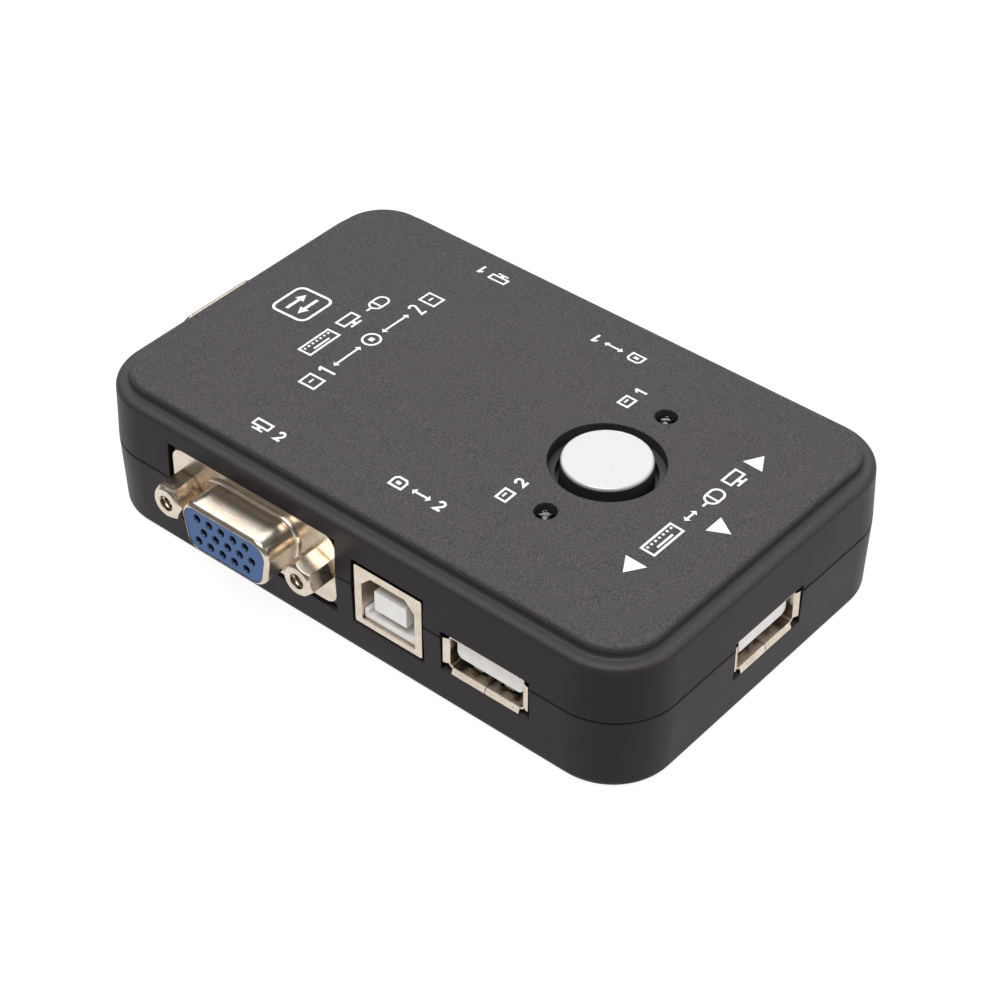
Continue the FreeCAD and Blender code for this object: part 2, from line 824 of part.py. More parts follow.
def video_pin_spots():
    """Each pin's X, its height and how far behind the flange it turns down to the board."""
    spots = []
    for step, row in enumerate((-1, 0, 1)):
        for column in range(VIDEO_PINS_A_ROW):
            across = column - (VIDEO_PINS_A_ROW - 1) / 2
            middle = "video_row_shift / 2" if row == 0 else "-video_row_shift / 2"
            x = f"{across} * video_pin_pitch + {middle}"
            z = f"video_centre + {row} * video_row_pitch"
            spots.append((x, z, f"video_first_row + {step} * video_tail_step"))
    return spots


def video_shell(name, place):
    """The plated front: a flange, a drawn bead and the D-shaped skirt with a rounded lip."""
    body = new_body(f"{name}_shell")
    flange = sketch_on(body, "XZ_Plane", "-video_flange_thick")
    rounded_rectangle(flange, "video_flange_width", "video_flange_height", "video_flange_corner",
                      y="video_centre")
    for side in "+-":
        circle(flange, f"{side} jack_spacing / 2", "video_centre", "jack_stud + jack_play")
    pad(body, flange, "video_flange_thick")
    bead = sketch_on(body, "XZ_Plane")
    d_outline(bead, "dshell_round + bead_spread")
    pad(body, bead, "bead_rise")
    bead_front = -size_of("bead_rise")
    round_edges(body, "bead_round", lambda edge: abs(edge.BoundBox.YMax - bead_front) < TOUCH)
    skirt = sketch_on(body, "XZ_Plane")
    d_outline(skirt, "dshell_round")
    pad(body, skirt, "dshell_reach")
    front = -size_of("dshell_reach")
    round_edges(body, "dshell_lip_round", lambda edge: abs(edge.BoundBox.YMax - front) < TOUCH)
    mouth = sketch_on(body, "XZ_Plane", "-video_flange_thick")
    d_outline(mouth, "dshell_round - dshell_rim")
    pocket(body, mouth, "2 * dshell_reach", back=True)
    inside = sketch_on(body, "XZ_Plane", "-video_flange_thick")
    d_outline(inside, "dshell_round - dshell_skin")
    pocket(body, inside, "video_flange_thick + dshell_reach - dshell_lip", back=True)
    return piece(f"{name}_shell", body, place)


def video_insert(name, place):
    """The pin block: it fills the skirt, and each pin hole opens in a funnel."""
    body = new_body(f"{name}_insert_body")
    nose = sketch_on(body, "XZ_Plane", "-video_flange_thick")
    d_outline(nose, "dshell_round - dshell_rim - insert_play")
    pad(body, nose, "video_flange_thick + dshell_reach - insert_recess")
    block = sketch_on(body, "XZ_Plane", "-video_flange_thick")
    d_outline(block, "dshell_round - dshell_skin - insert_play")
    pad(body, block, "video_flange_thick + dshell_reach - dshell_lip - insert_play")
    front = "-(dshell_reach - insert_recess)"
    bores = []
    for x, z, _ in video_pin_spots():
        bores.append(fuse([
            rod("y", x, front, z, "video_bore", "dshell_reach + 2 * video_flange_thick"),
            funnel(x, front, z, "video_funnel", "video_bore", "video_funnel_depth"),
        ]))
    return piece(f"{name}_insert", cut(body, group(bores)), place)


def video_contacts(name, place):
    """Fifteen round contacts that run back from the mouth and turn down through the board."""
    parts = []
    start = "-(dshell_reach - video_pin_front)"
    for x, z, turn in video_pin_spots():
        parts.append(rod("y", x, start, z, "video_pin_radius", f"{turn} - {start}"))
        parts.append(ball(x, turn, z, "video_pin_radius"))
        parts.append(rod("z", x, turn, "-tail_drop", "video_pin_radius", f"{z} + tail_drop"))
    return piece(f"{name}_contacts", fuse(parts), place)


def video_housing(name, place):
    """The moulded block behind the flange, with bores for the contacts and jack studs and two pegs."""
    block = centred_box("0", "video_flange_thick + video_housing_depth / 2", "0", "video_flange_width",
                        "video_housing_depth", "video_centre + video_flange_height / 2")
    bores = [rod("y", x, "0", z, "video_bore", "2 * video_housing_depth") for x, z, _ in video_pin_spots()]
    bores += [rod("y", f"{side} jack_spacing / 2", "0", "video_centre", "jack_stud + jack_play",
                  "2 * video_housing_depth") for side in "+-"]
    pegs = [rod("z", f"{side} jack_spacing / 2", "peg_depth", "-tail_drop", "peg_radius", "tail_drop")
            for side in "+-"]
    return piece(f"{name}_housing", cut(fuse([block] + pegs), group(bores)), place)


def jack_sockets(name, place):
    """The two hexagonal sockets, turned to a chamfer, that take a plug's screws and clamp the flange."""
    sockets = []
    for side, turn in JACK_TURNS.items():
        x = f"{side} jack_spacing / 2"
        bar = hexagon("y", x, "-jack_reach", "video_centre", "jack_flats", "jack_reach", turn)
        turned = funnel(x, "-jack_reach", "video_centre", "jack_face", "jack_face + jack_reach", "jack_reach")
        nut = common(bar, turned)
        stud = rod("y", x, "0", "video_centre", "jack_stud", "jack_stud_length")
        bore = rod("y", x, "-jack_reach", "video_centre", "jack_bore", "jack_bore_depth")
        sockets.append(cut(fuse([nut, stud]), bore))
    return piece(f"{name}_jack_sockets", group(sockets), place)


def video_drills():
    """The board's holes under a video socket."""
    drills = [rod("z", x, turn, "-tail_drop", "video_pin_radius + solder_play", "2 * tail_drop")
              for x, _, turn in video_pin_spots()]
    drills += [rod("z", f"{side} jack_spacing / 2", "peg_depth", "-tail_drop", "peg_radius + solder_play",
                   "2 * tail_drop") for side in "+-"]
    return drills


# ---- square data sockets --------------------------------------------------------------------

def host_mouth(sketch, grow="0"):
    """The nearly square mouth with its two upper corners cut off."""
    half = f"(host_mouth_width / 2 + {grow})"
    low, high = f"(host_mouth_bottom - {grow})", f"(host_mouth_top + {grow})"
    shoulder, roof = f"{high} - host_mouth_chamfer", f"({half} - host_mouth_chamfer)"
    polygon(sketch, [(half, low), (half, shoulder), (roof, high),
                     (f"-{roof}", high), (f"-{half}", shoulder), (f"-{half}", low)])


def host_shell(name, place):
    """The folded can, its front frame and the sleeve behind the mouth, with two solder tabs."""
    body = new_body(f"{name}_shell_body")
    low = "host_lift"
    can = sketch_on(body, "XZ_Plane")
    rounded_rectangle(can, "host_width", "host_height", "host_skin", y=f"{low} + host_height / 2")
    pad(body, can, "host_depth", back=True)
    hollow = sketch_on(body, "XZ_Plane", "-host_skin")
    rounded_rectangle(hollow, "host_width - 2 * host_skin", "host_height - 2 * host_skin", "host_skin / 2",
                      y=f"{low} + host_height / 2")
    pocket(body, hollow, "host_depth")
    sleeve = sketch_on(body, "XZ_Plane")
    host_mouth(sleeve, "host_skin")
    pad(body, sleeve, "host_sleeve_depth", back=True)
    mouth = sketch_on(body, "XZ_Plane")
    host_mouth(mouth)
    pocket(body, mouth, "host_depth")
    tabs = [box(f"{side} (host_width / 2 - host_skin / 2) - host_skin / 2", "tab_depth - tab_width / 2",
                "-tail_drop", "host_skin", "tab_width", "tail_drop + host_height / 2") for side in "+-"]
    rear = centred_box("0", "(host_rear_open + host_depth + overshoot) / 2", "0", "host_mouth_width",
                       "host_depth + overshoot - host_rear_open", "host_mouth_bottom")
    return piece(f"{name}_shell", fuse([cut(body, rear)] + tabs), place)


def host_contacts(name, place):
    """Four flat contacts, two on each face of the tongue, that turn down through the board."""
    parts = []
    for side in "+-":
        x = f"{side} host_contact_x"
        for step, face in enumerate(("host_tongue_bottom",
                                     "host_tongue_bottom + host_tongue_height - host_contact_thick")):
            turn = f"host_tail_depth + {step} * host_tail_step"
            parts.append(box(f"{x} - host_contact_width / 2", "host_contact_front", face,
                             "host_contact_width", f"{turn} - host_contact_front", "host_contact_thick"))
            parts.append(box(f"{x} - host_contact_thick", turn, "-tail_drop",
                             "2 * host_contact_thick", "host_contact_thick",
                             f"{face} + host_contact_thick + tail_drop"))
    contacts = fuse(parts)
    piece(f"{name}_contacts", group([contacts]), place)
    return contacts


def host_insulator(name, place, contacts):
    """The white moulding: a tray inside the mouth, the central tongue and the block behind them."""
    inner = "(host_mouth_width / 2)"
    wall = "host_tray_wall"
    gap = "insert_play"
    parts = [
        centred_box("0", "(host_tray_recess + host_cavity_depth) / 2", f"host_mouth_bottom + {gap}",
                    f"2 * ({inner} - {gap})", "host_cavity_depth - host_tray_recess", wall),
        centred_box("0", "host_tongue_front + host_cavity_depth / 2", "host_tongue_bottom",
                    "host_tongue_width", "host_cavity_depth", "host_tongue_height"),
        centred_box("0", "(host_cavity_depth + host_depth) / 2", f"host_mouth_bottom + {gap}",
                    f"2 * ({inner} - {gap})", "host_depth - host_cavity_depth",
                    f"host_mouth_top - host_mouth_bottom - 2 * {gap}"),
    ]
    for side in "+-":
        parts.append(centred_box(f"{side} ({inner} - {gap} - {wall} / 2)",
                                 "(host_tray_recess + host_cavity_depth) / 2", f"host_mouth_bottom + {gap}",
                                 wall, "host_cavity_depth - host_tray_recess", "host_tray_side"))
    return piece(f"{name}_insulator", cut(fuse(parts), contacts), place)


def tab_drills(across):
    """The board's holes for a connector's two solder tabs."""
    return [rod("z", f"{side} ({across})", "tab_depth", "-tail_drop", "tab_hole", "2 * tail_drop")
            for side in "+-"]


def host_drills():
    drills = [rod("z", f"{side} host_contact_x", f"host_tail_depth + {step} * host_tail_step",
                  "-tail_drop", "host_contact_thick + solder_play", "2 * tail_drop")
              for side in "+-" for step in (0, 1)]
    return drills + tab_drills("host_width / 2 - host_skin / 2")


# ---- flat data sockets ----------------------------------------------------------------------

def flat_mouth(sketch, grow="0"):
    rounded_rectangle(sketch, f"device_mouth_width + 2 * {grow}", f"device_mouth_height + 2 * {grow}",
                      f"device_mouth_round + {grow}", y="device_centre")


def flare(side, half, centre="0", out="device_flare_out"):
    """A lip's section: it leaves the can's wall and bends outwards towards the mouth."""
    root = f"{centre} {side} {half}"
    back = f"{centre} {side} ({half} + device_skin)"
    tip = f"{centre} {side} ({half} + device_skin + {out})"
    inner_tip = f"{centre} {side} ({half} + {out})"
    return [(root, "device_flare_depth"), (back, "device_flare_depth"), (tip, "device_skin / 2"),
            (tip, "0"), (inner_tip, "0")]


def device_shell(name, place):
    """The plated can with four flared lips, a seam under the mouth and two dimpled spring fingers."""
    body = new_body(f"{name}_shell_body")
    can = sketch_on(body, "XZ_Plane", "-device_flare_depth")
    flat_mouth(can, "device_skin")
    flat_mouth(can)
    pad(body, can, "device_depth - device_flare_depth", back=True)
    side_lips = sketch_on(body, "XY_Plane", "device_centre")
    for side in "+-":
        polygon(side_lips, flare(side, "device_mouth_width / 2"))
    pad(body, side_lips, "device_side_lip", both_ways=True)
    long_lips = sketch_on(body, "YZ_Plane")
    for side, out in (("+", "device_flare_up"), ("-", "device_flare_out")):
        section = flare(side, "device_mouth_height / 2", "device_centre", out)
        polygon(long_lips, [(depth, height) for height, depth in section])
    pad(body, long_lips, "device_long_lip", both_ways=True)

    floor_top = "(device_centre - device_mouth_height / 2)"
    seam = centred_box("0", "device_depth / 2", f"{floor_top} - device_flare_out - 2 * device_skin",
                       "device_seam", "device_depth", "device_flare_out + 3 * device_skin")
    rear = centred_box("0", "(device_block_front + device_depth + overshoot) / 2", "0", "device_block_width",
                       "device_depth + overshoot - device_block_front", "device_centre")
    windows = [centred_box(f"{side} device_finger_x", "(device_finger_tip + device_finger_root) / 2",
                           f"{floor_top} - 2 * device_skin", "device_window_width",
                           "device_finger_root - device_finger_tip", "3 * device_skin") for side in "+-"]
    fingers = [finger(f"{side} device_finger_x", floor_top) for side in "+-"]
    fingers += [ball(f"{side} device_finger_x", "device_finger_tip + device_finger_rise",
                     f"{floor_top} + device_dimple", "device_dimple") for side in "+-"]
    tabs = [box(f"{side} (device_mouth_width / 2 + device_skin / 2) - device_skin / 2",
                "tab_depth - tab_width / 2", "-tail_drop", "device_skin", "tab_width",
                "tail_drop + device_centre") for side in "+-"]
    opened = cut(body, fuse([seam, rear] + windows))
    return piece(f"{name}_shell", fuse([opened] + fingers + tabs), place)


def finger(x, floor_top):
    """A spring finger: it rises from the can's floor and dips again at its tip."""
    body = new_body("finger")
    side = sketch_on(body, "YZ_Plane", x)
    hinge = "device_finger_root + device_finger_rise"
    crest = "device_finger_tip + device_finger_rise"
    under = f"{floor_top} - device_skin"
    polygon(side, [
        ("device_finger_root", under), (hinge, under), (hinge, floor_top), ("device_finger_root", floor_top),
        (crest, f"{floor_top} + device_finger_rise"), ("device_finger_tip", f"{floor_top} + device_skin"),
        ("device_finger_tip + device_skin", f"{floor_top} + device_skin / 2"),
        (crest, f"{under} + device_finger_rise"),
    ])
    pad(body, side, "device_finger_width", both_ways=True)
    return body


def device_contacts(name, place):
    """Four flat contacts under the tongue that turn down through the board."""
    parts = []
    for side in "+-":
        for reach in ("device_contact_inner", "device_contact_outer"):
            x = f"{side} {reach}"
            parts.append(box(f"{x} - device_contact_width / 2", "device_contact_front", DEVICE_TONGUE_BOTTOM,
                             "device_contact_width", "device_tail_depth - device_contact_front",
                             "device_contact_thick"))
            parts.append(box(f"{x} - device_contact_thick", "device_tail_depth", "-tail_drop",
                             "2 * device_contact_thick", "device_contact_thick",
                             f"{DEVICE_TONGUE_BOTTOM} + device_contact_thick + tail_drop"))
    contacts = fuse(parts)
    piece(f"{name}_contacts", group([contacts]), place)
    return contacts


def device_insulator(name, place, contacts):
    """The white tongue at the top of the mouth and the block behind it, which stands on the board."""
    body = new_body(f"{name}_insulator_body")
    nose = sketch_on(body, "XZ_Plane", "-device_block_front")
    rounded_rectangle(nose, "device_tongue_width", "device_tongue_height", "device_tongue_round",
                      y=f"{DEVICE_TONGUE_BOTTOM} + device_tongue_height / 2")
    pad(body, nose, "device_block_front - device_tongue_front")
    block = sketch_on(body, "XZ_Plane", "-device_block_front")
    top = "(device_centre + device_mouth_height / 2 - insert_play)"
    rounded_rectangle(block, "device_block_width", top, "device_mouth_round", y=f"{top} / 2")
    pad(body, block, "device_depth - device_block_front", back=True)
    return piece(f"{name}_insulator", cut(body, contacts), place)


def device_drills():
    drills = [rod("z", f"{side} {reach}", "device_tail_depth", "-tail_drop",
                  "device_contact_thick + solder_play", "2 * tail_drop")
              for side in "+-" for reach in ("device_contact_inner", "device_contact_outer")]
    return drills + tab_drills("device_mouth_width / 2 + device_skin / 2")


# ---- circuit board and the parts on it ------------------------------------------------------

def drilled(drills, place):
    """A connector's drills, moved to the connector's place."""
    tool = group(drills)
    bind_place(tool, *place)
    return tool


def circuit_board():
    body = new_body("board_blank")
    blank = sketch_on(body, "XY_Plane", "board_bottom")
    rounded_rectangle(blank, "board_length", "board_width", "board_corner")
    pad(body, blank, "board_top - board_bottom")
    tools = [drilled(video_drills(), place) for place in VIDEO_PLACES.values()]
    tools += [drilled(host_drills(), place) for place in HOST_PLACES.values()]
    tools += [drilled(device_drills(), place) for place in DEVICE_PLACES.values()]
    singles = [(x, y, "screw_shank + 2 * screw_play") for x, y in SCREW_SPOTS]
    singles += [(f"button_x + {x}", y, "terminal_width / 2 + solder_play") for x, y in terminal_spots()]
    singles += [(f"button_x {side} light_lead_pitch / 2", y, "light_lead")
                for side in "+-" for y in LIGHT_SPOTS.values()]
    through = "board_top - board_bottom + 2 * overshoot"
    tools += [rod("z", x, y, "board_bottom - overshoot", radius, through) for x, y, radius in singles]
    return piece("circuit_board", cut(body, group(tools)))


def chip_leads(x, y):
    """Sixteen bent leads along a chip's two long sides."""
    leads = []
    for side in "+-":
        for step in range(CHIP_PINS_A_SIDE):
            along = f"{x} + ({step} - {(CHIP_PINS_A_SIDE - 1) / 2}) * chip_pitch"
            knee = f"{y} {side} (chip_width / 2 + chip_lead_out / 2)"
            foot = f"{y} {side} (chip_width / 2 + chip_lead_out + chip_foot_out / 2)"
            leads.append(centred_box(along, knee, "board_top", "chip_lead_width", "chip_lead_out",
                                     "chip_lead_height"))
            leads.append(centred_box(along, foot, "board_top", "chip_lead_width", "chip_foot_out",
                                     "chip_foot_height"))
    return leads


VIDEO_CHIP_SPOTS = [("-26", "7"), ("-26", "-7"), ("-13", "7"), ("-13", "-7")]
DATA_CHIP_SPOT = ("0", "-7")
CRYSTAL_SPOT = ("0", "7")
CAN_SPOTS = [("10.5", "-6"), ("10.5", "6")]
RESISTOR_SPOTS = [(str(x), y) for x in range(-31, 10, 5) for y in ("-1", "1.5")]
CAPACITOR_SPOTS = [(str(x), y) for x in range(-30, 0, 6) for y in ("-13", "13")]


def chip_bodies(spots):
    return [centred_box(x, y, "board_top + chip_lift", "chip_length", "chip_width", "chip_height")
            for x, y in spots]


def board_parts():
    piece("video_switch_chips", group(chip_bodies(VIDEO_CHIP_SPOTS)))
    piece("data_switch_chip", group(chip_bodies([DATA_CHIP_SPOT])))
    leads = [lead for x, y in VIDEO_CHIP_SPOTS + [DATA_CHIP_SPOT] for lead in chip_leads(x, y)]
    piece("chip_leads", fuse(leads))
    x, y = CRYSTAL_SPOT
    straight = "(crystal_length / 2 - crystal_width / 2)"
    piece("clock_crystal", fuse([
        centred_box(x, y, "board_top", f"2 * {straight}", "crystal_width", "crystal_height"),
        rod("z", f"{x} + {straight}", y, "board_top", "crystal_width / 2", "crystal_height"),
        rod("z", f"{x} - {straight}", y, "board_top", "crystal_width / 2", "crystal_height"),
    ]))
    piece("filter_capacitors", group([
        fuse([centred_box(x, y, "board_top", "2 * can_radius", "2 * can_radius", "can_base"),
              rod("z", x, y, "board_top", "can_radius", "can_height")]) for x, y in CAN_SPOTS]))
    piece("chip_resistors", group([
        centred_box(x, y, "board_top", "small_length", "small_width", "resistor_height")
        for x, y in RESISTOR_SPOTS]))
    piece("chip_capacitors", group([
        centred_box(x, y, "board_top", "small_length", "small_width", "capacitor_height")
        for x, y in CAPACITOR_SPOTS]))


# ---- the whole switch -----------------------------------------------------------------------

def build_everything():
    openings = port_openings()
    top_cover(openings)
    bottom_cover(openings)
    case_screws()
    circuit_board()
    board_parts()
    select_button()
    switch_housing()
    switch_plunger()
    switch_spring()
    switch_terminals()
    for name, y in LIGHT_SPOTS.items():
        status_light(name, y)
    for name, place in VIDEO_PLACES.items():
        video_shell(name, place)
        video_insert(name, place)
        video_contacts(name, place)
        video_housing(name, place)
        jack_sockets(name, place)
    for name, place in HOST_PLACES.items():
        host_shell(name, place)
        contacts = host_contacts(name, place)
        host_insulator(name, place, contacts)
    for name, place in DEVICE_PLACES.items():
        device_shell(name, place)
        contacts = device_contacts(name, place)
        device_insulator(name, place, contacts)
    doc.recompute()


def check_everything():
    for item in doc.Objects:
        if "Invalid" in item.State or "Error" in item.State:
            raise RuntimeError(f"{item.Label} failed: {item.State}")
    for item in pieces:
        if item.Shape.isNull() or not item.Shape.isValid() or not item.Shape.Solids:
            raise RuntimeError(f"{item.Label} has no valid solid")


def write_everything():
    os.makedirs("parts", exist_ok=True)
    for item in pieces:
        item.Shape.exportStep(f"parts/{item.Label}.step")
        limits = item.Shape.BoundBox
        print(f"{item.Label:32s} {len(item.Shape.Solids):3d} solids, {item.Shape.Volume:9.1f} mm3, "
              f"x {limits.XMin:.2f}..{limits.XMax:.2f}, y {limits.YMin:.2f}..{limits.YMax:.2f}, "
              f"z {limits.ZMin:.2f}..{limits.ZMax:.2f}")


build_everything()
check_everything()
write_everything()
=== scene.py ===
import json
import math

import bmesh
import bpy
from mathutils import Matrix, Vector


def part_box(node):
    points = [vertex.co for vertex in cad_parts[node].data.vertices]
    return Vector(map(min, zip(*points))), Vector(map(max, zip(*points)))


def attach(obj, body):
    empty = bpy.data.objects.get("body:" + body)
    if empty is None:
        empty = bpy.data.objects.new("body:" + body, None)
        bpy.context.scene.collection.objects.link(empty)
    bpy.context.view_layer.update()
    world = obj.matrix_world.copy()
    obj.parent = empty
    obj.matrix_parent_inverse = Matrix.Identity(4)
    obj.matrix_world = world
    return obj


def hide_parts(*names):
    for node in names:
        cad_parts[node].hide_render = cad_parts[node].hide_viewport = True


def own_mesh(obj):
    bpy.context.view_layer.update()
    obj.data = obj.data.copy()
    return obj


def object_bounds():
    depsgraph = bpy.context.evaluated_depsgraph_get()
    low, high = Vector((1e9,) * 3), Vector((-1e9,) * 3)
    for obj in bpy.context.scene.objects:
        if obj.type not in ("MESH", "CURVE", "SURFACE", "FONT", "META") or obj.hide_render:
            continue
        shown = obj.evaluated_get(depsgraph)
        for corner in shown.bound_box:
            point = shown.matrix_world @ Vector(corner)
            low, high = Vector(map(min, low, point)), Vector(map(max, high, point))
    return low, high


# The looks of a two-computer keyboard, video and mouse switch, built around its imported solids.
# Lengths are in metres in the part's frame: +Z up, -Y the side with the second computer's sockets.
# Colours are linear red, green, blue and alpha, and a pair of tones is the dark one, then the light one.

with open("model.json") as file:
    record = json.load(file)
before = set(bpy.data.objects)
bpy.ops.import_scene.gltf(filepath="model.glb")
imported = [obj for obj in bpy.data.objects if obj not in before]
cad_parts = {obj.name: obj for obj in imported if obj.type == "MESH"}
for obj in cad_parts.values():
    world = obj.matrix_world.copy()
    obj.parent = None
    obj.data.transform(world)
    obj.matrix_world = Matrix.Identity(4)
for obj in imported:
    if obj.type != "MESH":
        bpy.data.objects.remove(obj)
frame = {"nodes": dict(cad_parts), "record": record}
cad_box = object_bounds()
MM = 0.001
RECORD_SLOTS = {row["node"]: row["material_slot"] for row in frame["record"]["subparts"]}
DECK_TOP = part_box("top_cover")[1].z
BUTTON_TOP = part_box("select_button")[1].z


def placed(name, data):
    """Adds an object with this data to the scene."""
    made = bpy.data.objects.new(name, data)
    bpy.context.scene.collection.objects.link(made)
    return made


# ---- node helpers ---------------------------------------------------------------------------

# Most of a noise pattern's values fall in this range.
NOISE_RANGE = (0.3, 0.7)
BEVEL_SAMPLES = 4
HOLLOW_SAMPLES = 6


def add(tree, kind, links=None, **settings):
    """Adds a node. links maps an input to a number, a colour or another node's output."""
    made = tree.nodes.new(kind)
    for name, value in settings.items():
        setattr(made, name, value)
    for name, value in (links or {}).items():
        if isinstance(value, bpy.types.NodeSocket):
            tree.links.new(value, made.inputs[name])
        else:
            made.inputs[name].default_value = value
    return made


def start_material(name, roughness, metallic=0.0, **sockets):
    """A material whose shader has its plain sockets set; returns it with its tree and shader."""
    material = bpy.data.materials.new(name)
    material.use_nodes = True
    tree = material.node_tree
    shader = tree.nodes["Principled BSDF"]
    shader.inputs["Roughness"].default_value = roughness
    shader.inputs["Metallic"].default_value = metallic
    for socket, value in sockets.items():
        shader.inputs[socket.replace("_", " ")].default_value = value
    return material, tree, shader


def wire(tree, value, shader, socket):
    tree.links.new(value, shader.inputs[socket])


def place_of(tree):
    """The point on the object, in metres in the part's frame."""
    return add(tree, "ShaderNodeTexCoord").outputs["Object"]


def height_of(tree):
    """The point's height above the part's underside."""
    return add(tree, "ShaderNodeSeparateXYZ", {0: place_of(tree)}).outputs["Z"]


def noise(tree, size, detail=2.0, rough=0.5):
    """Noise whose features are about this size, from 0 to 1."""
    return add(tree, "ShaderNodeTexNoise", {
        "Vector": place_of(tree), "Scale": 1 / size, "Detail": detail, "Roughness": rough,
    }).outputs["Fac"]


def ramp(tree, value, low, high, low_out=0.0, high_out=1.0, smooth=False):
    """Maps low..high to low_out..high_out and holds the ends."""
    made = add(tree, "ShaderNodeMapRange", {
        "Value": value, "From Min": low, "From Max": high, "To Min": low_out, "To Max": high_out,
    })
    made.interpolation_type = "SMOOTHSTEP" if smooth else "LINEAR"
    return made.outputs["Result"]


def math_of(tree, operation, first, second):
    return add(tree, "ShaderNodeMath", {0: first, 1: second}, operation=operation).outputs[0]


def blend_colours(tree, share, first, second):
    made = add(tree, "ShaderNodeMix", data_type="RGBA")
    for name, value in (("Factor_Float", share), ("A_Color", first), ("B_Color", second)):
        socket = next(s for s in made.inputs if s.identifier == name)
        if isinstance(value, bpy.types.NodeSocket):
            tree.links.new(value, socket)
        else:
            socket.default_value = value
    return next(s for s in made.outputs if s.identifier == "Result_Color")


def mottled(tree, pattern, tones, span=NOISE_RANGE):
    """A pair of tones mixed by a noise pattern."""
    return blend_colours(tree, ramp(tree, pattern, *span), *tones)


def bump(tree, height, distance, strength, under=None):
    links = {"Height": height, "Distance": distance, "Strength": strength}
    if under:
        links["Normal"] = under
    return add(tree, "ShaderNodeBump", links).outputs["Normal"]


def soft_edges(tree, radius):
    """Rounds the shading of sharp edges by this radius."""
    return add(tree, "ShaderNodeBevel", {"Radius": radius}, samples=BEVEL_SAMPLES).outputs["Normal"]


def hollows(tree, reach):
    """From 0 in tight corners and deep holes to 1 in the open."""
    return add(tree, "ShaderNodeAmbientOcclusion", {"Distance": reach}, samples=HOLLOW_SAMPLES).outputs["AO"]


# ---- materials ------------------------------------------------------------------------------

DECK_FOOT = DECK_TOP - 2.1 * MM
DECK_BLEND = 0.5 * MM
# The shoulder ramp paints light: walls above this height are lifted toward the lighter, lit tone.
SHOULDER = DECK_TOP - 3.13 * MM
SHOULDER_LIGHT_BLEND = 1.3 * MM
SHOULDER_LIGHT_SHARE = 0.55
# The wall tones are a painted-shade copy of the plastic, used where faces turn sideways.
WALL_SHADE_TONES = ((0.0112, 0.0082, 0.0102, 1), (0.0168, 0.0124, 0.0154, 1))
LEDGE_TONES = ((0.046, 0.0415, 0.0445, 1), (0.054, 0.049, 0.0525, 1))
DECK_TONES = ((0.033, 0.030, 0.033, 1), (0.088, 0.081, 0.088, 1))
CASE_GRAIN = 0.24 * MM
CASE_FINE_GRAIN = 0.12 * MM
CASE_WEAR = 11 * MM


def case_plastic():
    """Black moulded plastic: spark-eroded grain on the deck and a smooth ledge; walls that face sideways get a
    darker tone as painted shade, and walls above the shoulder are lifted toward the lit tone as painted light.
    """
    material, tree, shader = start_material("case_plastic", 0.5, Specular_IOR_Level=0.15)
    facing = add(tree, "ShaderNodeSeparateXYZ", {0: add(tree, "ShaderNodeNewGeometry").outputs["Normal"]})
    height = height_of(tree)
    # Painted light and shade: faces turned up, and walls above the shoulder, take the lighter tones, while side
    # walls take the darker painted-shade tone.
    shoulder_light = ramp(tree, height, SHOULDER - SHOULDER_LIGHT_BLEND, SHOULDER, 0.0, SHOULDER_LIGHT_SHARE, smooth=True)
    upward = math_of(tree, "MAXIMUM", ramp(tree, facing.outputs["Z"], 0.2, 1.0, smooth=True), shoulder_light)
    on_deck = ramp(tree, height, DECK_FOOT, DECK_FOOT + DECK_BLEND)
    grain = noise(tree, CASE_GRAIN, detail=3.0, rough=0.7)
    fine = noise(tree, CASE_FINE_GRAIN)
    wear = noise(tree, CASE_WEAR, detail=3.0)
    wall_shade = mottled(tree, grain, WALL_SHADE_TONES, span=(0.35, 0.65))
    ledge = mottled(tree, fine, LEDGE_TONES)
    deck = mottled(tree, grain, DECK_TONES, span=(0.36, 0.64))
    flat = blend_colours(tree, on_deck, ledge, deck)
    wire(tree, blend_colours(tree, upward, wall_shade, flat), shader, "Base Color")
    worn = ramp(tree, wear, *NOISE_RANGE, 0.0, 0.06)
    wire(tree, math_of(tree, "ADD", worn, ramp(tree, on_deck, 0, 1, 0.42, 0.48)), shader, "Roughness")
    relief = math_of(tree, "MULTIPLY", grain, ramp(tree, on_deck, 0, 1, 0.15, 1.0))
    normal = bump(tree, relief, 0.1 * MM, 0.9, soft_edges(tree, 0.25 * MM))
    wire(tree, bump(tree, fine, 0.015 * MM, 0.4, normal), shader, "Normal")
    return material


NICKEL_TONES = ((0.61, 0.525, 0.43, 1), (0.72, 0.645, 0.555, 1))
NICKEL_PITS = (0.50, 0.42, 0.335, 1)
# Painted shade: the dark brown that corners and hollows take.
NICKEL_CORNER_SHADE = (0.24, 0.155, 0.095, 1)
NICKEL_RIPPLE = 2.2 * MM
NICKEL_SPECK = 0.2 * MM
NICKEL_PIT = 0.14 * MM
NICKEL_SHADE_REACH = 1.7 * MM


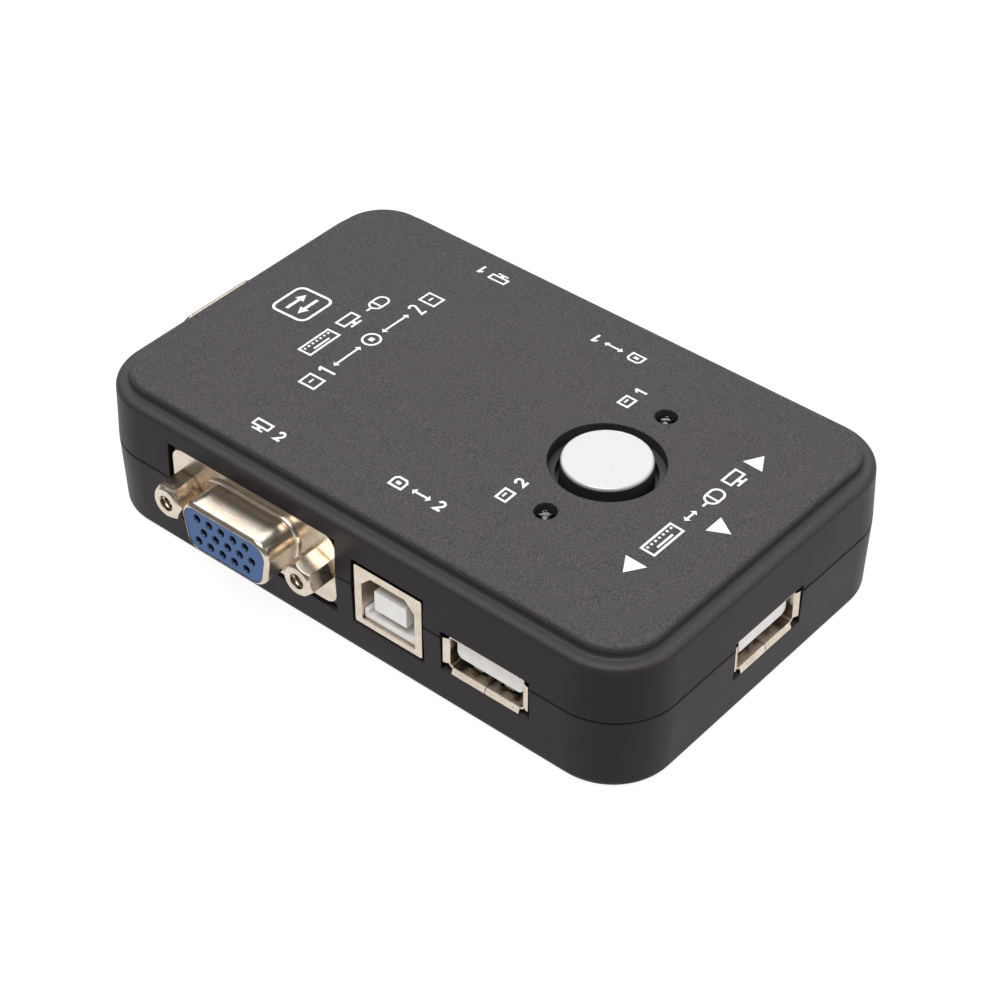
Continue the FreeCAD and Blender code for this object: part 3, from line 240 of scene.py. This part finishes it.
def nickel_plate():
    """Warm bright nickel over pressed steel: a little rippled and finely specked, with painted shade that turns its
    corners and hollows dark brown.
    """
    material, tree, shader = start_material("nickel_plate", 0.2, metallic=1.0)
    ripple = noise(tree, NICKEL_RIPPLE)
    specks = noise(tree, NICKEL_SPECK)
    bright = mottled(tree, ripple, NICKEL_TONES)
    pits = ramp(tree, noise(tree, NICKEL_PIT), 0.54, 0.68)
    bright = blend_colours(tree, pits, bright, NICKEL_PITS)
    # Painted shade: ambient occlusion mixes the corners and hollows toward dark brown.
    unshaded_share = ramp(tree, hollows(tree, NICKEL_SHADE_REACH), 0.2, 0.75, smooth=True)
    wire(tree, blend_colours(tree, unshaded_share, NICKEL_CORNER_SHADE, bright), shader, "Base Color")
    wire(tree, ramp(tree, specks, 0.3, 0.75, 0.16, 0.27), shader, "Roughness")
    normal = bump(tree, ripple, 0.04 * MM, 0.3, soft_edges(tree, 0.12 * MM))
    wire(tree, bump(tree, specks, 0.035 * MM, 0.6, normal), shader, "Normal")
    return material


BLUE_TONES = ((0.011, 0.068, 0.215, 1), (0.020, 0.098, 0.285, 1))
# Painted shade: the near-black that the pin holes take.
BLUE_HOLE_SHADE = (0.003, 0.009, 0.025, 1)
BLUE_SHADE_REACH = 1.4 * MM


def blue_plastic():
    """Blue moulding with a little flow mottling; painted shade darkens its pin holes."""
    material, tree, shader = start_material("blue_plastic", 0.4)
    mottle = noise(tree, 0.5 * MM, detail=3.0)
    tone = mottled(tree, mottle, BLUE_TONES)
    # Painted shade: ambient occlusion mixes the pin holes toward near-black.
    unshaded_share = ramp(tree, hollows(tree, BLUE_SHADE_REACH), 0.6, 0.94, smooth=True)
    wire(tree, blend_colours(tree, unshaded_share, BLUE_HOLE_SHADE, tone), shader, "Base Color")
    wire(tree, ramp(tree, mottle, *NOISE_RANGE, 0.34, 0.5), shader, "Roughness")
    wire(tree, bump(tree, noise(tree, 0.15 * MM), 0.015 * MM, 0.5, soft_edges(tree, 0.08 * MM)), shader, "Normal")
    return material


def plain_moulding(name, tones, roughness):
    """A moulded plastic with faint mottling, fine grain and softened edges."""
    material, tree, shader = start_material(name, roughness)
    wire(tree, mottled(tree, noise(tree, 1.5 * MM), tones), shader, "Base Color")
    grain = noise(tree, 0.25 * MM)
    wire(tree, ramp(tree, grain, *NOISE_RANGE, roughness - 0.05, roughness + 0.08), shader, "Roughness")
    wire(tree, bump(tree, grain, 0.01 * MM, 0.4, soft_edges(tree, 0.1 * MM)), shader, "Normal")
    return material


def plain_metal(name, tones, roughness):
    """A plated or drawn metal with uneven tone and polish."""
    material, tree, shader = start_material(name, roughness, metallic=1.0)
    patches = noise(tree, 1.2 * MM, detail=3.0)
    wire(tree, mottled(tree, patches, tones), shader, "Base Color")
    polish = ramp(tree, noise(tree, 0.3 * MM), *NOISE_RANGE, roughness - 0.06, roughness + 0.1)
    wire(tree, polish, shader, "Roughness")
    wire(tree, bump(tree, patches, 0.02 * MM, 0.3, soft_edges(tree, 0.08 * MM)), shader, "Normal")
    return material


PAINT_TONES = ((0.515, 0.515, 0.52, 1), (0.56, 0.56, 0.565, 1))
PAINT_UNDER = (0.02, 0.019, 0.018, 1)
PAINT_METALLIC = 0.35
PAINT_FOOT = BUTTON_TOP - 0.55 * MM
PAINT_FULL = BUTTON_TOP - 0.4 * MM


def button_paint():
    """Satin silver paint with fine flakes on the cap's top, over a black moulding."""
    material, tree, shader = start_material("button_paint", 0.3)
    painted = ramp(tree, height_of(tree), PAINT_FOOT, PAINT_FULL)
    flakes = noise(tree, 0.09 * MM)
    silver = mottled(tree, noise(tree, 0.45 * MM, detail=3.0), PAINT_TONES)
    wire(tree, blend_colours(tree, painted, PAINT_UNDER, silver), shader, "Base Color")
    wire(tree, ramp(tree, painted, 0, 1, 0.0, PAINT_METALLIC), shader, "Metallic")
    wire(tree, ramp(tree, flakes, *NOISE_RANGE, 0.34, 0.46), shader, "Roughness")
    wire(tree, bump(tree, flakes, 0.01 * MM, 0.5, soft_edges(tree, 0.1 * MM)), shader, "Normal")
    return material


LENS_TONES = ((0.80, 0.80, 0.79, 1), (0.92, 0.92, 0.91, 1))


def clear_lens():
    """Clear epoxy, slightly hazy inside."""
    material, tree, shader = start_material("clear_lens", 0.03, Transmission_Weight=1.0, IOR=1.53)
    haze = noise(tree, 0.9 * MM)
    wire(tree, mottled(tree, haze, LENS_TONES), shader, "Base Color")
    wire(tree, bump(tree, haze, 0.03 * MM, 0.4), shader, "Normal")
    return material


def board_laminate():
    """Green solder mask with copper tracks that show through as paler lines."""
    material, tree, shader = start_material("board_laminate", 0.35)
    weave = add(tree, "ShaderNodeTexBrick", {
        "Vector": place_of(tree), "Scale": 1.0, "Mortar Size": 0.18 * MM, "Brick Width": 3.4 * MM,
        "Row Height": 1.1 * MM, "Color1": (0.012, 0.11, 0.045, 1), "Color2": (0.016, 0.13, 0.05, 1),
        "Mortar": (0.03, 0.2, 0.07, 1),
    })
    wire(tree, weave.outputs["Color"], shader, "Base Color")
    wire(tree, bump(tree, weave.outputs["Fac"], 0.03 * MM, 0.5), shader, "Normal")
    return material


# Plain finishes: a pair of tones and a roughness.
MOULDINGS = {
    "white_plastic": (((0.80, 0.782, 0.76, 1), (0.87, 0.855, 0.838, 1)), 0.4),
    "socket_plastic": (((0.012, 0.012, 0.013, 1), (0.02, 0.02, 0.021, 1)), 0.5),
    "chip_plastic": (((0.012, 0.012, 0.012, 1), (0.02, 0.02, 0.02, 1)), 0.55),
    "capacitor_ceramic": (((0.3, 0.19, 0.09, 1), (0.38, 0.25, 0.13, 1)), 0.5),
}
METALS = {
    "gold_contact": (((0.62, 0.42, 0.16, 1), (0.78, 0.58, 0.26, 1)), 0.24),
    "tinned_metal": (((0.6, 0.6, 0.58, 1), (0.72, 0.72, 0.7, 1)), 0.3),
    "can_aluminium": (((0.66, 0.66, 0.68, 1), (0.76, 0.76, 0.78, 1)), 0.28),
    "zinc_steel": (((0.55, 0.55, 0.56, 1), (0.68, 0.68, 0.7, 1)), 0.34),
}
SLOT_MATERIALS = {
    "case_plastic": case_plastic(),
    "button_paint": button_paint(),
    "nickel_plate": nickel_plate(),
    "blue_plastic": blue_plastic(),
    "clear_lens": clear_lens(),
    "board_laminate": board_laminate(),
    **{name: plain_moulding(name, *finish) for name, finish in MOULDINGS.items()},
    **{name: plain_metal(name, *finish) for name, finish in METALS.items()},
}


def dress_solids():
    """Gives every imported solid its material."""
    for name, solid in frame["nodes"].items():
        slot = RECORD_SLOTS[name]
        solid.data.materials.clear()
        solid.data.materials.append(SLOT_MATERIALS[slot])


dress_solids()


# ---- the button's return spring -------------------------------------------------------------

def return_spring():
    """The coil under the button: a copy of the switch's spring, carried by the case."""
    coil = placed("return_spring", frame["nodes"]["switch_spring"].data.copy())
    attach(coil, "case")
    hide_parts("switch_spring")
    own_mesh(coil)


return_spring()


# ---- threads in the jack sockets ------------------------------------------------------------

# A thread's sizes are in millimetres. Its profile is (radius, shift along the bore), root to root.
THREAD_PITCH = 0.635
THREAD_START = 0.35
THREAD_LENGTH = 3.3
THREAD_STEPS = 20
THREAD_PROFILE = ((1.24, -0.3), (1.1, -0.05), (1.1, 0.05), (1.24, 0.3))
JACK_SPACING = 24.99


def mesh_piece(name, vertices, faces, slot):
    """A new smooth visual piece on the case, in one of the record's finishes."""
    mesh = bpy.data.meshes.new(name)
    mesh.from_pydata(vertices, [], faces)
    mesh.polygons.foreach_set("use_smooth", [True] * len(mesh.polygons))
    mesh.materials.append(SLOT_MATERIALS[slot])
    made = placed(name, mesh)
    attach(made, "case")


def thread(mouth, outward):
    """A helical ridge inside a bore: mouth is the bore's centre at its open end, outward the way it looks."""
    axis = Vector(outward)
    across = axis.cross(Vector((0, 0, 1)))
    ring_size = len(THREAD_PROFILE)
    vertices, faces = [], []
    steps = int(THREAD_LENGTH / THREAD_PITCH * THREAD_STEPS)
    for step in range(steps + 1):
        turns = step / THREAD_STEPS
        spoke = across * math.cos(turns * math.tau) + Vector((0, 0, math.sin(turns * math.tau)))
        depth = THREAD_START + turns * THREAD_PITCH
        for radius, shift in THREAD_PROFILE:
            vertices.append(mouth + (spoke * radius - axis * (depth + shift)) * MM)
    for step in range(steps):
        for k in range(ring_size - 1):
            low = ring_size * step + k
            faces.append((low, low + 1, low + 1 + ring_size, low + ring_size))
    return vertices, faces


def jack_threads(video, outward):
    """Threads both jack sockets of a connector whose mouth looks outward."""
    axis = Vector(outward)
    along = Vector((abs(axis.y), abs(axis.x), 0))
    low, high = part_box(f"{video}_shell")
    centre = (low + high) / 2
    low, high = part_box(f"{video}_jack_sockets")
    front = max(low @ axis, high @ axis)
    centre += axis * (front - centre @ axis)
    vertices, faces = [], []
    for side in (-1, 1):
        spots, loops = thread(centre + along * (side * JACK_SPACING / 2 * MM), outward)
        faces += [tuple(index + len(vertices) for index in loop) for loop in loops]
        vertices += spots
    mesh_piece(f"{video}_threads", vertices, faces, "nickel_plate")


for video, outward in (("video_in_1", (0, 1, 0)), ("video_in_2", (0, -1, 0)), ("video_out", (-1, 0, 0))):
    jack_threads(video, outward)


# ---- printed marks on the deck --------------------------------------------------------------

INK_TONES = ((0.72, 0.72, 0.715, 1), (0.80, 0.80, 0.795, 1))


def white_ink():
    material, tree, shader = start_material("white_ink", 0.55)
    grain = noise(tree, 0.3 * MM, detail=3.0)
    wire(tree, mottled(tree, grain, INK_TONES), shader, "Base Color")
    wire(tree, bump(tree, grain, 0.02 * MM, 0.4), shader, "Normal")
    return material


WHITE_INK = white_ink()

# Marks are drawn in millimetres on their own axes, then laid on the crowned deck.
DECK_HALF_LENGTH = 46.55
DECK_HALF_WIDTH = 28.55
DECK_EDGE_HEIGHT = 23.15
DECK_CROWN = 1.43
INK_RISE = 0.03
INK_DEPTH = 0.05
INK_CELL = 1.5
WELD = 1e-3
CUT = 1e-5
LINE = 0.34
STEM = 0.4
NUMBER_LINE = 0.38
KEY = 0.36
KEY_STEP = 0.72
ARROW_TIP = 0.62
ARROW_HALF = 0.6
SHARPEST = 0.4


def deck_height(x, y):
    """The height of the deck's crowned surface, in millimetres."""
    u, v = (x / DECK_HALF_LENGTH + 1) / 2, (y / DECK_HALF_WIDTH + 1) / 2
    return DECK_EDGE_HEIGHT + 16 * DECK_CROWN * u * (1 - u) * v * (1 - v)


def band(points, closed=False, width=LINE):
    """A line of even width through points, with mitred corners, as quads."""
    spots = [Vector(point) for point in points]
    count = len(spots)
    sides = []
    for k, spot in enumerate(spots):
        ahead = spots[(k + 1) % count] - spot if closed or k < count - 1 else None
        behind = spot - spots[k - 1] if closed or k else None
        into, out = (behind or ahead).normalized(), (ahead or behind).normalized()
        normal = Vector((-into.y - out.y, into.x + out.x)).normalized()
        reach = width / 2 / max(normal.dot(Vector((-out.y, out.x))), SHARPEST)
        sides.append((spot + normal * reach, spot - normal * reach))
    quads = []
    for k in range(count if closed else count - 1):
        after = (k + 1) % count
        quads.append([sides[k][0], sides[after][0], sides[after][1], sides[k][1]])
    return quads


def arc(u, v, across, up, start, end, steps=14):
    """Points round part of an oval, between two angles in degrees."""
    angles = [math.radians(start + (end - start) * k / steps) for k in range(steps + 1)]
    return [(u + across * math.cos(angle), v + up * math.sin(angle)) for angle in angles]


def slab(u0, v0, u1, v1):
    return [[(u0, v0), (u1, v0), (u1, v1), (u0, v1)]]


def frame_of(u0, v0, u1, v1):
    """A rectangle drawn as a line, which fills these corners."""
    half = LINE / 2
    left, foot, right, head = u0 + half, v0 + half, u1 - half, v1 - half
    return band([(left, foot), (right, foot), (right, head), (left, head)], True)


def monitor(width, height):
    middle = width / 2
    neck = slab(middle - 0.3, 0.1 * height, middle + 0.3, 0.3 * height)
    return frame_of(0, 0.3 * height, width, height) + neck + slab(0.2 * width, 0, 0.8 * width, 0.13 * height)


def keyboard(width, height):
    shapes = frame_of(0, 0, width, height)
    margin, row = 0.62, 0.62 * height
    keys = int((width - 1.0) / KEY_STEP)
    for k in range(keys):
        u = margin + k * (width - 2 * margin - KEY) / (keys - 1)
        shapes += slab(u, row, u + KEY, row + KEY)
    return shapes + slab(0.25 * width, 0.25 * height, 0.75 * width, 0.25 * height + LINE)


def mouse(width, height):
    """A capsule with the line under its buttons and the start of its cord."""
    half, middle = (height - LINE) / 2, height / 2
    body = arc(half + LINE / 2, middle, half, half, 270, 90)
    body += arc(width - half - LINE / 2, middle, half, half, 90, -90)
    buttons = band([(0.36 * width, 0.2), (0.36 * width, height - 0.2)])
    return band(body, True) + buttons + band([(-0.9, middle), (0.1, middle)])


def computer(width, height):
    return frame_of(0, 0, width, height) + slab(0.32 * width, 0.5 * height, 0.68 * width, 0.5 * height + 0.3)


def square_plug(width, height):
    """The square data plug from its end: two corners are cut."""
    half, cut = LINE / 2, 0.24 * width
    outline = [(half, half), (width - half, half), (width - half, height - cut), (width - cut, height - half),
               (cut, height - half), (half, height - cut)]
    return band(outline, True) + slab(0.34 * width, 0.34 * height, 0.66 * width, 0.6 * height)


def number_one(height):
    left = 0.5
    flag = [(left, height), (0.05, height - 0.42), (0.05, height - 0.82), (left, height - 0.5)]
    return slab(left, 0, left + STEM, height) + [flag]


def number_two(height):
    curve = arc(0.68, height - 0.68, 0.5, 0.5, 165, -35, 10)
    return band(curve + [(0.3, NUMBER_LINE / 2), (1.28, NUMBER_LINE / 2)], width=NUMBER_LINE)


NUMBERS = {"1": number_one, "2": number_two}


def two_way_arrow(length, height):
    middle, low, high = height / 2, height / 2 - ARROW_HALF, height / 2 + ARROW_HALF
    line = band([(0.7 * ARROW_TIP, middle), (length - 0.7 * ARROW_TIP, middle)])
    return line + [[(0, middle), (ARROW_TIP, low), (ARROW_TIP, high)],
                   [(length, middle), (length - ARROW_TIP, high), (length - ARROW_TIP, low)]]


def ring(u, v, radius):
    return band(arc(u, v, radius, radius, 0, 340, 17), True)


def swap_symbol(size):
    """Two opposite arrows in a rounded frame."""
    corner, half = 1.2, LINE / 2 + 0.05
    low, high = half, size - half
    outline = []
    for u, v, start in ((high - corner, high - corner, 0), (low + corner, high - corner, 90),
                        (low + corner, low + corner, 180), (high - corner, low + corner, 270)):
        outline += arc(u, v, corner, corner, start, start + 90, 5)
    shapes = band(outline, True, 0.44)
    for v, tail, head in ((0.66 * size, 0.2 * size, 0.8 * size), (0.34 * size, 0.8 * size, 0.2 * size)):
        neck = head - math.copysign(1.5, head - tail)
        shapes += band([(tail, v), (neck, v)], width=0.55)
        shapes.append([(neck, v - 0.85), (head, v), (neck, v + 0.85)])
    return shapes


def row_of(*glyphs):
    """Sets glyphs side by side; each is (its shapes, its width, the gap after it)."""
    shapes, u = [], 0.0
    for glyph, width, gap in glyphs:
        shapes += [[(point[0] + u, point[1]) for point in shape] for shape in glyph]
        u += width + gap
    return shapes


TURNS = {"along_x": ((1, 0), (0, 1)), "back_x": ((-1, 0), (0, -1)), "along_y": ((0, 1), (-1, 0))}


def printed(name, marks):
    """Lays marks on the deck as one thin white film; each is (shapes, origin, which way it reads)."""
    film = bmesh.new()
    for shapes, (x, y), turn in marks:
        right, up = (Vector(axis) for axis in TURNS[turn])
        for shape in shapes:
            spots = [Vector((x, y)) + right * point[0] + up * point[1] for point in shape]
            film.faces.new([film.verts.new((spot.x, spot.y, 0)) for spot in spots])
    for axis, half in ((0, DECK_HALF_LENGTH), (1, DECK_HALF_WIDTH)):
        normal = Vector((0, 0, 0))
        normal[axis] = 1
        for k in range(-int(half / INK_CELL), int(half / INK_CELL) + 1):
            everything = film.verts[:] + film.edges[:] + film.faces[:]
            cut_place = normal * (k * INK_CELL)
            bmesh.ops.bisect_plane(film, geom=everything, dist=CUT, plane_co=cut_place, plane_no=normal)
    bmesh.ops.remove_doubles(film, verts=film.verts[:], dist=WELD)
    bmesh.ops.recalc_face_normals(film, faces=film.faces[:])
    for face in film.faces:
        if face.normal.z < 0:
            face.normal_flip()
    rim = [edge for edge in film.edges if edge.is_boundary]
    skirt = bmesh.ops.extrude_edge_only(film, edges=rim)["geom"]
    lowered = {item for item in skirt if isinstance(item, bmesh.types.BMVert)}
    for spot in film.verts:
        spot.co.z = deck_height(spot.co.x, spot.co.y) + INK_RISE - (INK_DEPTH if spot in lowered else 0)
    bmesh.ops.scale(film, vec=(MM, MM, MM), verts=film.verts[:])
    mesh = bpy.data.meshes.new(name)
    film.to_mesh(mesh)
    film.free()
    mesh.materials.append(WHITE_INK)
    made = placed(name, mesh)
    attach(made, "case")


def device_arrows():
    """Three triangles that point at the three flat sockets."""
    corners = [
        [(34.1, -12.8), (37.6, -12.8), (35.8, -15.6)],
        [(39.0, -2.1), (39.0, 1.3), (41.95, -0.4)],
        [(34.4, 12.5), (37.6, 12.5), (35.9, 15.4)],
    ]
    printed("device_arrows", [([triangle], (0, 0), "along_x") for triangle in corners])


def labels():
    """Small marks beside the sockets and lights."""
    def video_label(number):
        return row_of((monitor(3.2, 2.1), 3.2, 1.3), (NUMBERS[number](1.95), 1.4, 0))

    def data_label(number):
        return row_of((square_plug(2.5, 2.1), 2.5, 1.1), (two_way_arrow(3.3, 2.1), 3.3, 1.0),
                      (NUMBERS[number](2.0), 1.4, 0))

    def light_label(number):
        return row_of((computer(2.4, 2.0), 2.4, 1.3), (NUMBERS[number](1.95), 1.4, 0))

    printed("socket_labels", [
        (video_label("2"), (-22.3, -25.0), "along_x"),
        (data_label("2"), (0.8, -22.1), "along_x"),
        (video_label("1"), (-16.5, 24.8), "back_x"),
        (data_label("1"), (10.6, 22.2), "back_x"),
    ])
    printed("light_labels", [
        (light_label("2"), (15.8, -15.3), "along_y"),
        (light_label("1"), (15.8, 10.9), "along_y"),
    ])


def deck_title():
    """The rows of pictograms at the deck's two ends, and the symbol beside them."""
    console = row_of((keyboard(6.6, 2.5), 6.6, 1.5), (two_way_arrow(2.6, 2.5), 2.6, 2.2),
                     (mouse(3.5, 2.4), 3.5, 1.4), (monitor(3.4, 2.6), 3.4, 0))
    first = row_of((keyboard(6.4, 2.6), 6.4, 1.6), (monitor(3.6, 2.8), 3.6, 2.4), (mouse(3.6, 2.4), 3.6, 0))
    button = ring(1.5, 1.55, 1.35) + slab(1.1, 1.15, 1.9, 1.95)
    second = row_of((computer(2.6, 3.1), 2.6, 1.1), (number_one(3.0), 1.0, 1.1),
                    (two_way_arrow(5.6, 3.1), 5.6, 0.8), (button, 3.0, 0.8), (two_way_arrow(5.6, 3.1), 5.6, 1.1),
                    (number_two(3.0), 1.6, 1.1), (computer(2.6, 3.1), 2.6, 0))
    printed("deck_title", [
        (first, (-25.9, -8.6), "along_y"),
        (second, (-20.2, -14.0), "along_y"),
        (console, (37.1, -10.6), "along_y"),
    ])
    printed("switch_symbol", [(swap_symbol(7.0), (-32.2, -3.5), "along_y")])


device_arrows()
labels()
deck_title()


# ---- studio ---------------------------------------------------------------------------------

FLOOR_HALF = 4.0
FLOOR_GAP = 0.05 * MM
FLOOR_GLOW = 0.93
FLOOR_MOTTLE = 0.2
FLOOR_TONES = ((0.09, 0.09, 0.09, 1), (0.11, 0.11, 0.11, 1))
WHITE = (1, 1, 1, 1)
SKY_STRENGTH = 0.2
# A softbox's azimuth and elevation in degrees, from the -Y side; its distance, its width and height, its watts.
SOFTBOXES = {
    "back_softbox": (-140, 48, 1.3, (1.3, 1.0), 8),
    "overhead_softbox": (20, 74, 1.2, (1.0, 0.8), 16),
    "right_softbox": (125, 22, 1.1, (0.7, 0.5), 3),
}
CAMERA_ANGLES = (40.13, 40.245, 0.15)
CAMERA_PLACE = (0.18590, -0.21921, 0.25021)
CAMERA_LENS = 95.8
CAMERA_SENSOR = 36
CAMERA_CLIP = (0.01, 20)


def studio_floor():
    """A pale table top that glows a little, so that it stays white under the object's edges."""
    material, tree, shader = start_material("studio_floor", 0.9, Emission_Color=WHITE, Emission_Strength=FLOOR_GLOW)
    wire(tree, blend_colours(tree, noise(tree, FLOOR_MOTTLE), *FLOOR_TONES), shader, "Base Color")
    half = FLOOR_HALF
    mesh = bpy.data.meshes.new("studio_floor")
    mesh.from_pydata([(-half, -half, 0), (half, -half, 0), (half, half, 0), (-half, half, 0)], [], [(0, 1, 2, 3)])
    mesh.materials.append(material)
    floor = placed("studio_floor", mesh)
    floor.location.z = cad_box[0].z - FLOOR_GAP


def away(azimuth, elevation):
    """The direction at these angles, in radians; azimuth 0 is the -Y side."""
    return Vector((math.sin(azimuth) * math.cos(elevation), -math.cos(azimuth) * math.cos(elevation),
                   math.sin(elevation)))


def softbox(name, azimuth, elevation, distance, size, watts):
    """An area light that looks at the object from this direction."""
    direction = away(math.radians(azimuth), math.radians(elevation))
    light = bpy.data.lights.new(name, "AREA")
    light.shape = "RECTANGLE"
    light.size, light.size_y = size
    light.energy = watts
    lamp = placed(name, light)
    lamp.location = direction * distance
    lamp.rotation_mode = "QUATERNION"
    lamp.rotation_quaternion = direction.to_track_quat("Z", "Y")


def sky():
    world = bpy.data.worlds.new("studio_sky")
    world.use_nodes = True
    background = world.node_tree.nodes["Background"]
    background.inputs["Color"].default_value = WHITE
    background.inputs["Strength"].default_value = SKY_STRENGTH
    bpy.context.scene.world = world


def camera():
    """Looks down at the -Y side and the +X end from about 0.4 m."""
    azimuth, elevation, roll = (math.radians(angle) for angle in CAMERA_ANGLES)
    back = away(azimuth, elevation)
    right = (-back).cross(Vector((0, 0, 1))).normalized()
    up = right.cross(-back)
    across = right * math.cos(roll) + up * math.sin(roll)
    upward = up * math.cos(roll) - right * math.sin(roll)
    data = bpy.data.cameras.new("camera")
    data.lens = CAMERA_LENS
    data.sensor_width = CAMERA_SENSOR
    data.clip_start, data.clip_end = CAMERA_CLIP
    eye = placed("camera", data)
    eye.matrix_world = Matrix((across, upward, back)).transposed().to_4x4()
    eye.location = CAMERA_PLACE
    bpy.context.scene.camera = eye


studio_floor()
for name, setting in SOFTBOXES.items():
    softbox(name, *setting)
sky()
camera()
bpy.context.scene.view_settings.view_transform = "Standard"
